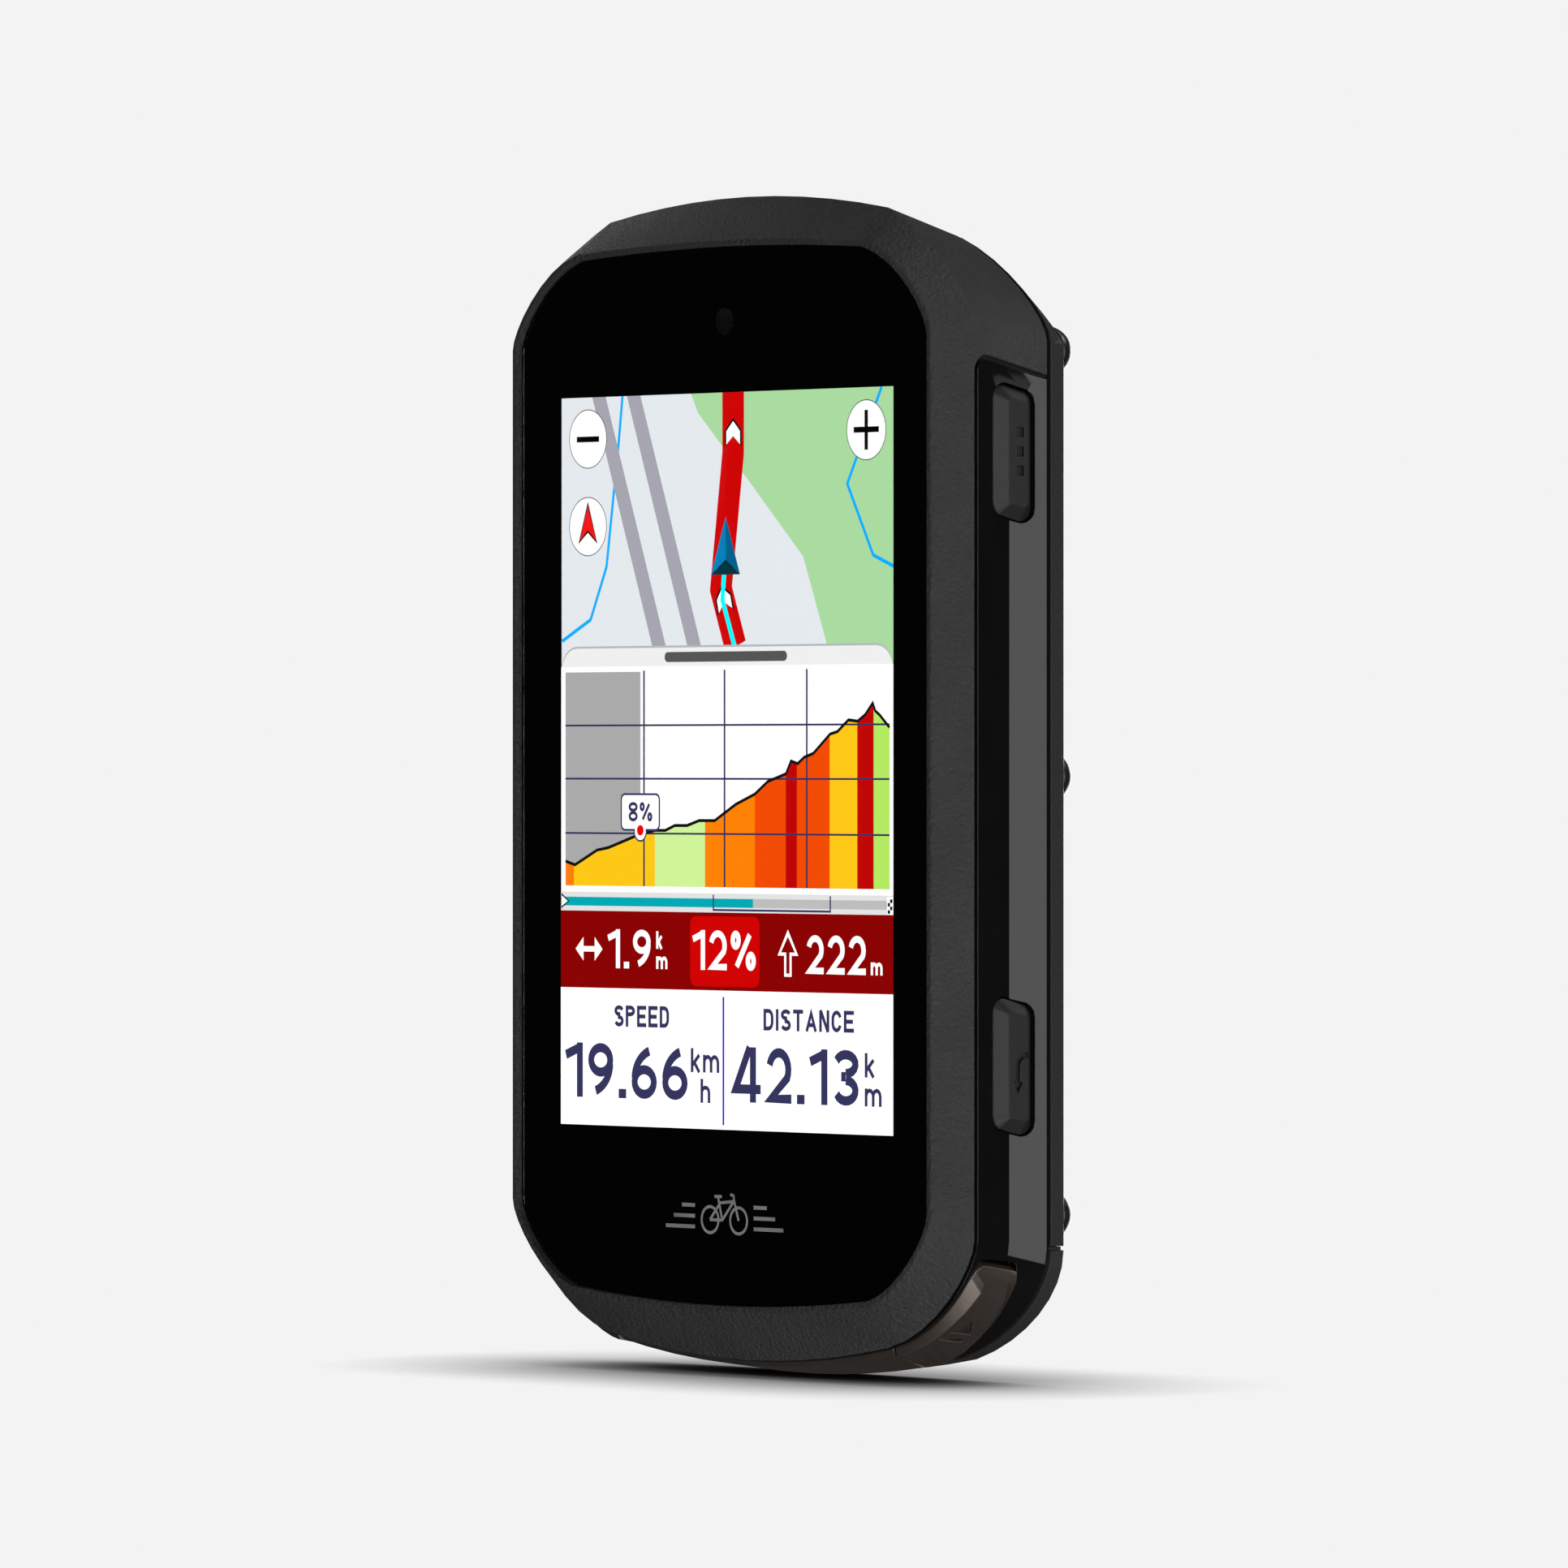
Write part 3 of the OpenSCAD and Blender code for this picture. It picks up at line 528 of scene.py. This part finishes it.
def pen_strokes(letter, w, h, p):
    """Open and closed strokes of a letter in a box w wide and h high, with a pen 2p wide."""
    mid, rx = w / 2, w / 2 - p
    high, low = 0.745 * h, 0.27 * h                   # middles of the upper and lower bowls
    high_r, low_r = 0.255 * h - p, 0.27 * h - p
    top, end = h - p, w - p
    cap = rx * 1.15                                   # height of a round end
    tail = bow(w * 1.05, 0.38 * h, w * 1.05 - p, 0.62 * h - p, 180, 112)
    six = [tail], [bow(mid, 0.31 * h, rx, 0.31 * h - p, 0, 345, 23)]
    half = (end - p) / 2
    arches = [bow(p + half * (k + 0.5), h - p - half * 0.6, half / 2, half * 0.6, 180, 0)
              for k in (0, 1)]
    letters = {
        "1": ([[(w - p, 0), (w - p, h)], [(0, 0.77 * h), (w - p, 0.91 * h)]], []),
        "2": ([bow(mid, h - p - cap, rx, cap, 165, -30) + [(p * 1.6, p), (w, p)]], []),
        "3": ([bow(mid, high, rx, high_r, 160, -90), bow(mid, low, rx, low_r, 90, -160),
               [(0.32 * w, 0.54 * h - p / 4), (mid, 0.54 * h - p / 4)]], []),
        "4": ([[(0.6 * w, h), (p * 0.8, 0.24 * h), (w, 0.24 * h)], [(0.72 * w, 0), (0.72 * w, h)]], []),
        "6": six,
        "9": [[[(w - x, h - z) for x, z in part] for part in parts] for parts in six],
        "8": ([], [bow(mid, high, rx, high_r, 0, 345, 23), bow(mid, low, rx, low_r, 0, 345, 23)]),
        ".": ([[(0, p), (w, p)]], []),
        "%": ([[(0.24 * w, 0.1 * h), (0.76 * w, 0.9 * h)]],
              [bow(0.2 * w, 0.76 * h, 0.2 * w - p, 0.24 * h - p, 0, 345, 23),
               bow(0.8 * w, 0.24 * h, 0.2 * w - p, 0.24 * h - p, 0, 345, 23)]),
        "S": ([bow(mid, high, rx, high_r, 15, 270) + bow(mid, low, rx, low_r, 90, -165)], []),
        "P": ([[(p, 0), (p, h)], [(p, top)] + bow(mid, top - high_r, rx, high_r, 90, -90)
               + [(p, top - 2 * high_r)]], []),
        "E": ([[(p, 0), (p, h)], [(p, top), (w, top)], [(p, h / 2), (0.9 * w, h / 2)],
               [(p, p), (w, p)]], []),
        "D": ([], [[(p, p), (p, top)] + bow(mid, top - cap, rx, cap, 90, 0)
                   + bow(mid, p + cap, rx, cap, 0, -90)]),
        "I": ([[(mid, 0), (mid, h)]], []),
        "T": ([[(mid, 0), (mid, h)], [(0, top), (w, top)]], []),
        "A": ([[(p, 0), (mid, h - 1.6 * p), (end, 0)],
               [(0.2 * w, 0.3 * h), (0.8 * w, 0.3 * h)]], []),
        "N": ([[(p, 0), (p, h)], [(end, 0), (end, h)], [(p, h), (end, 0)]], []),
        "C": ([bow(mid, top - cap, rx, cap, 15, 180) + bow(mid, p + cap, rx, cap, 180, 345)], []),
        "k": ([[(p, 0), (p, h)], [(p, 0.28 * h), (end, 0.72 * h)],
               [(0.35 * w, 0.42 * h), (end, 0)]], []),
        "h": ([[(p, 0), (p, h)], [(p, 0.4 * h)]
               + bow(mid, 0.72 * h - p - cap * 0.8, rx, cap * 0.8, 180, 0) + [(end, 0)]], []),
        "m": ([[(p, 0), (p, h)]] + [part + [(part[-1][0], 0)] for part in arches], []),
    }
    return letters[letter]


def lettering(text, x0, x1, z0, z1, pen):
    """Generic digits or letters drawn with a pen, stretched to fill a box."""
    widths = [LETTER_WIDTHS.get(letter, USUAL_WIDTH) for letter in text]
    unit = (x1 - x0) / (sum(widths) + LETTER_GAP * (len(text) - 1))
    shapes = []
    x = x0
    for letter, width in zip(text, widths):
        open_parts, closed_parts = pen_strokes(letter, width * unit, z1 - z0, pen / 2)
        for parts, closed in ((open_parts, False), (closed_parts, True)):
            shapes += [line([(x + u, z0 + v) for u, v in part], pen, closed) for part in parts]
        x += (width + LETTER_GAP) * unit
    return joined(shapes)


def flat_piece(name, shapes, depths):
    """One object from flat shapes, each with its material and its depth in metres."""
    mesh = bpy.data.meshes.new(name)
    points, faces, looks, materials = [], [], [], []
    for (outline, pieces, material), depth in zip(shapes, depths):
        start = len(points)
        if material not in materials:
            materials.append(material)
        points += [(x * MM, depth, (SCREEN_Z + z) * MM) for x, z in outline]
        for face in pieces:
            a, b, c = (Vector(outline[i]) for i in face[:3])
            turned = (b - a).cross(c - b) < 0
            faces.append([start + i for i in (reversed(face) if turned else face)])
            looks.append(materials.index(material))
    mesh.from_pydata(points, [], faces)
    for material in materials:
        mesh.materials.append(material)
    mesh.polygons.foreach_set("material_index", looks)
    piece = bpy.data.objects.new(name, mesh)
    bpy.context.scene.collection.objects.link(piece)
    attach(piece, "housing")


lit_materials = {}


def lit(code):
    """Material of screen cells that shine in a colour, over a dark, faintly uneven panel."""
    if code not in lit_materials:
        material = finish("lit_" + code, grey(6), rough=0.5, grain=0.12, vary=0.3, specular=0.0)
        surface = material.node_tree.nodes["Principled BSDF"]
        surface.inputs["Emission Color"].default_value = colour(code)
        surface.inputs["Emission Strength"].default_value = SCREEN_GLOW
        lit_materials[code] = material
    return lit_materials[code]


layer_numbers = itertools.count()


def next_depth():
    """Depth in metres of the picture's next layer, in front of all layers before."""
    return panel_low.y - (PICTURE_GAP + next(layer_numbers) * LAYER) * MM


def picture(name, *parts, flat=False):
    """Piece of the screen's picture. Each part is a shape and a colour.

    Each part lies in front of the part before, or all parts lie in one layer when flat.
    """
    shapes = [(points, faces, lit(code)) for (points, faces), code in parts]
    depths = [next_depth()] * len(parts) if flat else [next_depth() for _ in parts]
    flat_piece(name, shapes, depths)


WHITE, BLACK, NAVY, GRID = "ffffff", "000000", "33335c", "34305a"
MAP_LOW = 9.0
MAP_END = 7.6                                     # the map runs on behind the header's corners
CHART_GROUND = -10.45                             # lower ends of the chart's ground, and of the
PROGRESS_LOW = -11.95                             # bands under it
CLIMB_BAND_LOW = -18.1


def draw_map():
    """Map with woods, streams and two parallel roads."""
    woods = [(-4.2, HALF_H), (-3.3, 27.5), (-0.4, 24.9), (2.4, 22.5), (9.5, 16.0), (12.4, MAP_LOW),
             (12.8, MAP_END), (SCREEN_X, MAP_END), (SCREEN_X, HALF_H)]
    stream = [(-12.7, HALF_H), (-13.2, 25.2), (-14.7, 15.5), (-16.7, 11.3), (-20.3, 9.6)]
    brook = [(18.9, HALF_H), (14.8, 21.6), (17.9, 16.0), (SCREEN_X, 15.1)]
    picture("map_ground", (box(-SCREEN_X, SCREEN_X, MAP_END, HALF_H), "e5eaee"))
    picture("map_woods", (patch(woods), "aadba0"))
    picture("map_streams", (line(stream, 0.3), "00b0ff"), (line(brook, 0.3), "00b0ff"))
    lean, half_road = 7.55, 0.84
    for name, x in (("map_roads", -15.65), ("map_road_east", -11.3)):
        road = [(x - half_road, HALF_H), (x + half_road, HALF_H),
                (x + lean + half_road, MAP_LOW), (x + lean - half_road, MAP_LOW)]
        picture(name, (patch(road), "a6a5b0"))


def chevron(x, z, size, turn):
    """Outline of a chevron that points up, turned by an angle in degrees."""
    shape = [(-1, -0.9), (0, -0.1), (1, -0.9), (1, 0.35), (0, 1.3), (-1, 0.35)]
    c, s = math.cos(math.radians(turn)), math.sin(math.radians(turn))
    return [(x + size * (c * u - s * v), z + size * (s * u + c * v)) for u, v in shape]


def draw_route():
    """Route with its direction signs, the track ridden, and the rider's position."""
    route = [(1.0, HALF_H), (1.0, 24.3), (-0.5, 13.6), (1.3, MAP_LOW)]
    track = [(-0.1, 14.8), (-0.3, 12.7), (1.2, MAP_LOW)]
    picture("route", (line(route, 2.65), "cf0000"))
    for name, x, z, turn in (("route_sign_ahead", 1.0, 25.7, 0),
                             ("route_sign_behind", -0.1, 12.6, 14)):
        picture(name, (patch(chevron(x, z, 1.03, turn)), BLACK),
                (patch(chevron(x, z, 0.84, turn)), WHITE))
    picture("ridden_track", (line(track, 0.5), "00ffff"))
    tip, left, right, notch = (0.1, 19.3), (-1.7, 14.7), (1.85, 14.7), (0.1, 15.9)
    picture("position_arrow", (patch([tip, left, notch]), "0080b8"),
            (patch([tip, notch, right]), "005f8c"), (patch([left, right, notch]), "003440"))


def draw_map_keys():
    """Round touch keys in the map's upper corners."""
    radius = 2.37
    for name, x, z in (("zoom_out_key", -17.0, 25.75), ("compass_key", -17.0, 18.75),
                       ("zoom_in_key", 17.1, 25.75)):
        picture(name, (disc(x, z, radius), "404040"), (disc(x, z, radius - 0.07), WHITE))
    picture("zoom_out_sign", (box(-18.4, -15.6, 25.5, 25.95), BLACK))
    picture("zoom_in_sign", (box(15.6, 18.6, 25.55, 26.0), BLACK))
    picture("zoom_in_stem", (box(16.9, 17.3, 24.2, 27.3), BLACK))
    needle = [(-17.0, 20.75), (-18.2, 17.35), (-17.0, 18.25), (-15.8, 17.35)]
    inner = [(-17.0, 20.4), (-18.05, 17.6), (-17.0, 18.45), (-15.95, 17.6)]
    picture("compass_needle", (patch(needle), BLACK), (patch(inner), "f01414"))


CHART_LOW = -9.95
CHART_TOP = 7.1
# Height of the climb along the chart
CLIMB = [(-19.8, -8.0), (-18.6, -8.3), (-15.8, -7.1), (-14.4, -6.9), (-10.4, -5.8), (-8.6, -5.5),
         (-7.3, -5.5), (-6.1, -5.1), (-4.6, -5.1), (-3.1, -4.7), (-1.2, -4.7), (1.4, -3.4), (3.7, -2.6),
         (5.3, -1.6), (7.5, -1.0), (8.1, 0.0), (8.9, -0.2), (9.7, 0.3), (10.8, 0.6), (12.8, 2.1),
         (13.7, 2.3), (15.0, 3.2), (16.1, 3.1), (17.0, 3.6), (17.9, 4.5), (18.2, 3.9), (18.7, 3.6),
         (19.9, 2.6)]
# Where each stretch of the climb ends, and its colour by steepness
STRETCHES = [(-18.75, "ff8000"), (-8.6, "ffc814"), (-2.4, "d0f598"), (3.7, "ff8200"), (7.45, "f24b00"),
             (8.8, "c00000"), (12.75, "f24b00"), (16.05, "ffc814"), (18.0, "c00000"), (19.9, "b4ea62")]


def climb_height(x):
    """Height of the climb at a place along the chart."""
    for (x0, z0), (x1, z1) in zip(CLIMB, CLIMB[1:]):
        if x <= x1:
            return z0 + (z1 - z0) * (x - x0) / (x1 - x0)
    return CLIMB[-1][1]


def climb_between(x0, x1):
    """Line of the climb between two places along the chart."""
    within = [point for point in CLIMB if x0 < point[0] < x1]
    return [(x0, climb_height(x0))] + within + [(x1, climb_height(x1))]


def draw_chart():
    """Panel header and the chart of the climb, in colours of its steepness."""
    header_low = 7.55
    corner = 2.0
    top = round_loop(-SCREEN_X, SCREEN_X, 3.0, MAP_LOW, corner)
    shadow = round_loop(-SCREEN_X, SCREEN_X, 3.0, MAP_LOW + 0.16, corner)
    picture("panel_header", (patch(shadow), "b4b8bc"), (patch(top), "f0f0f0"))
    picture("panel_handle", (patch(round_loop(-7.4, 7.6, 7.85, 8.65, 0.38)), "555555"))
    picture("chart_ground", (box(-SCREEN_X, SCREEN_X, CHART_GROUND, header_low), WHITE))
    start, here = CLIMB[0][0], -10.4
    past = [(start, CHART_TOP)] + climb_between(start, here) + [(here, CHART_TOP)]
    picture("chart_ridden", (patch(past), "aaaaaa"))
    x0 = start
    blocks = []
    for x1, code in STRETCHES:
        blocks.append((patch([(x0, CHART_LOW)] + climb_between(x0, x1) + [(x1, CHART_LOW)]), code))
        x0 = x1
    picture("chart_climb", *blocks, flat=True)
    picture("chart_posts", *[(box(x - 0.1, x + 0.1, CHART_LOW, CHART_TOP + 0.1), GRID)
                             for x in (-9.95, 0.0, 10.0)])
    picture("chart_levels", *[(box(start, CLIMB[-1][0], z - 0.075, z + 0.075), GRID)
                              for z in (2.85, -1.4, -5.75)])
    picture("chart_profile", (line(CLIMB, 0.25), "101010"))
    draw_balloon(here)


def draw_balloon(x):
    """Balloon with the grade at the rider's place on the chart."""
    low, high, half = -5.55, -2.55, 2.45
    rim = 0.16
    outer = round_loop(x - half, x + half, low, high, 0.5)
    inner = round_loop(x - half + rim, x + half - rim, low + rim, high - rim, 0.38)
    picture("balloon_pin", (disc(x, -5.6, 0.82), NAVY))
    picture("balloon", (patch(outer), NAVY), (patch(inner), WHITE))
    picture("balloon_dot", (disc(x, -5.6, 0.68), WHITE), (disc(x, -5.5, 0.42), "f00000"))
    picture("balloon_digits", (lettering("8%", x - 1.45, x + 1.5, -4.8, -3.25, 0.26), NAVY))


def draw_progress():
    """Bar that shows how much of the climbs is ridden."""
    low, high = PROGRESS_LOW, CHART_GROUND
    bar_low, bar_high = -11.55, -10.85
    picture("progress_ground", (box(-SCREEN_X, SCREEN_X, low, high), "dedede"))
    picture("progress_left", (box(3.5, 20.0, bar_low, bar_high), "b9b9b9"))
    picture("progress_done", (box(-20.0, 3.5, bar_low, bar_high), "00a5b0"))
    mark = [(-20.3, low + 0.15), (-19.3, (low + high) / 2), (-20.3, high - 0.1)]
    inner = [(-20.25, low + 0.35), (-19.5, (low + high) / 2), (-20.25, high - 0.3)]
    picture("progress_start", (patch(mark), BLACK), (patch(inner), WHITE))
    bracket = [(-1.35, high - 0.1), (-1.35, low + 0.2), (12.85, low + 0.2), (12.85, high - 0.1)]
    picture("progress_span", (line(bracket, 0.16), NAVY))
    cell = 0.28
    squares = [(box(19.7 + (i % 2) * cell, 19.7 + (i % 2 + 1) * cell, low + 0.1 + i * cell,
                    low + 0.1 + (i + 1) * cell), BLACK) for i in range(4)]
    picture("progress_finish", (box(19.6, SCREEN_X, low + 0.05, high - 0.1), WHITE), *squares)


def draw_climb_band():
    """Band with what is left of the climb: distance, grade and ascent."""
    low, high = CLIMB_BAND_LOW, PROGRESS_LOW
    middle = -15.0
    picture("climb_band", (box(-SCREEN_X, SCREEN_X, low, high), "870000"))
    picture("grade_box", (patch(round_loop(-4.2, 4.3, low + 0.3, high - 0.3, 0.7)), "cc0000"))
    head, shaft = 0.95, 0.22
    both_ways = [(-18.5, middle), (-17.5, middle + head), (-17.5, middle + shaft),
                 (-16.1, middle + shaft), (-16.1, middle + head), (-15.1, middle),
                 (-16.1, middle - head), (-16.1, middle - shaft), (-17.5, middle - shaft),
                 (-17.5, middle - head)]
    picture("distance_sign", (patch(both_ways), WHITE))
    up = [(7.75, -13.2), (9.0, -15.25), (8.2, -15.25), (8.2, -16.9), (7.3, -16.9), (7.3, -15.25),
          (6.5, -15.25)]
    cut = [(7.75, -13.75), (8.6, -15.0), (7.95, -15.0), (7.95, -16.65), (7.55, -16.65),
           (7.55, -15.0), (6.9, -15.0)]
    picture("ascent_sign", (patch(up, cut), WHITE))
    bold, thin = 0.52, 0.27
    picture("climb_digits", (lettering("1.9", -14.4, -9.1, -16.5, -13.4, bold), WHITE),
            (lettering("12%", -3.85, 3.85, -16.5, -13.35, bold), WHITE),
            (lettering("222", 10.0, 17.1, -16.65, -13.6, bold), WHITE))
    picture("climb_units", (lettering("k", -8.4, -7.6, -14.9, -13.5, thin), WHITE),
            (lettering("m", -8.4, -7.0, -16.5, -15.5, thin), WHITE),
            (lettering("m", 17.7, 19.1, -16.65, -15.65, thin), WHITE))


def draw_readouts():
    """Speed and distance under the climb."""
    high = CLIMB_BAND_LOW
    picture("readout_ground", (box(-SCREEN_X, SCREEN_X, -HALF_H, high), WHITE))
    picture("readout_divider", (box(-0.2, 0.0, -28.7, -18.6), "2020c8"))
    bold, thin = 0.74, 0.32
    picture("readout_labels", (lettering("SPEED", -13.6, -6.8, -21.15, -19.45, thin), NAVY),
            (lettering("DISTANCE", 4.8, 15.7, -21.15, -19.45, thin), NAVY))
    low, top = -26.85, -22.5
    picture("readout_digits", (lettering("19.66", -19.7, -4.5, low, top, bold), NAVY),
            (lettering("42.13", 1.1, 16.25, low, top, bold), NAVY))
    picture("readout_units", (lettering("k", -4.1, -2.9, -24.6, -22.7, thin), NAVY),
            (lettering("m", -2.6, -0.6, -24.6, -23.2, thin), NAVY),
            (lettering("h", -2.9, -1.7, -27.0, -25.1, thin), NAVY),
            (lettering("k", 17.0, 18.2, -24.6, -22.7, thin), NAVY),
            (lettering("m", 17.0, 19.0, -26.85, -25.45, thin), NAVY))


draw_map()
draw_route()
draw_map_keys()
draw_chart()
draw_progress()
draw_climb_band()
draw_readouts()


def glass_loop(margin):
    """Outline of the cover glass's back, moved inward, in millimetres from the screen's centre."""
    back = glass_high.y
    points = {(round(v.co.x / MM, 3), round(v.co.z / MM - SCREEN_Z, 3))
              for v in frame["nodes"]["cover_glass"].data.vertices if back - v.co.y < 0.01 * MM}
    ordered = sorted(points, key=lambda p: math.atan2(p[1], p[0]))
    return [(x - margin * x / math.hypot(x, z), z - margin * z / math.hypot(x, z)) for x, z in ordered]


PRINT_INSET = 0.004                               # print and badge inside the glass's back, in mm
BADGE_INSET = 0.03


def draw_print():
    """Black print inside the back of the glass, open over the picture and over the light sensor."""
    inside = glass_high.y - PRINT_INSET * MM
    black = finish("glass_print", grey(1), rough=0.6, grain=0.1, specular=0.0)
    window = [(-SCREEN_X, -HALF_H), (SCREEN_X, -HALF_H), (SCREEN_X, HALF_H), (-SCREEN_X, HALF_H)]
    sensor = (sensor_low + sensor_high) / 2 / MM
    hole = circle(sensor.x, sensor.z - SCREEN_Z, (sensor_high.x - sensor_low.x) / 2 / MM - 0.02)
    points, faces = patch(glass_loop(0.02), window, hole)
    flat_piece("glass_print", [(points, faces, black)], [inside])


def draw_badge():
    """Generic bicycle sign between two bars, printed in silver under the glass."""
    silver = finish("badge_silver", grey(225), rough=0.4, grain=0.1, depth=0.002)
    z, wheel = -36.2, 1.15
    rear, front, crank = (-1.75, z), (1.75, z), (-0.25, z)
    seat, head = (-0.75, z + 1.75), (1.15, z + 1.75)
    pen = 0.24
    tubes = [[rear, crank], [crank, seat], [rear, (-0.6, z + 1.25)], [crank, (1.1, z + 1.45)],
             [(-0.62, z + 1.35), (1.12, z + 1.5)], [front, head],
             [(-1.2, z + 1.85), (-0.3, z + 1.85)],
             [(0.75, z + 2.05), (1.15, z + 1.95), (1.2, z + 1.6)]]
    shapes = [ring(*rear, wheel, pen), ring(*front, wheel, pen)] + [line(t, pen) for t in tubes]
    for side in (-1, 1):
        for row, length in enumerate((3.6, 2.6, 1.6)):
            start = side * 3.6                        # the bars start this far from the middle
            end = start + side * length
            height = z - 0.75 + row * 0.85
            shapes.append(box(min(start, end), max(start, end), height, height + 0.3))
    depth = glass_high.y - BADGE_INSET * MM
    flat_piece("badge", [(points, faces, silver) for points, faces in shapes],
               [depth - i * 0.002 * MM for i in range(len(shapes))])


draw_print()
draw_badge()
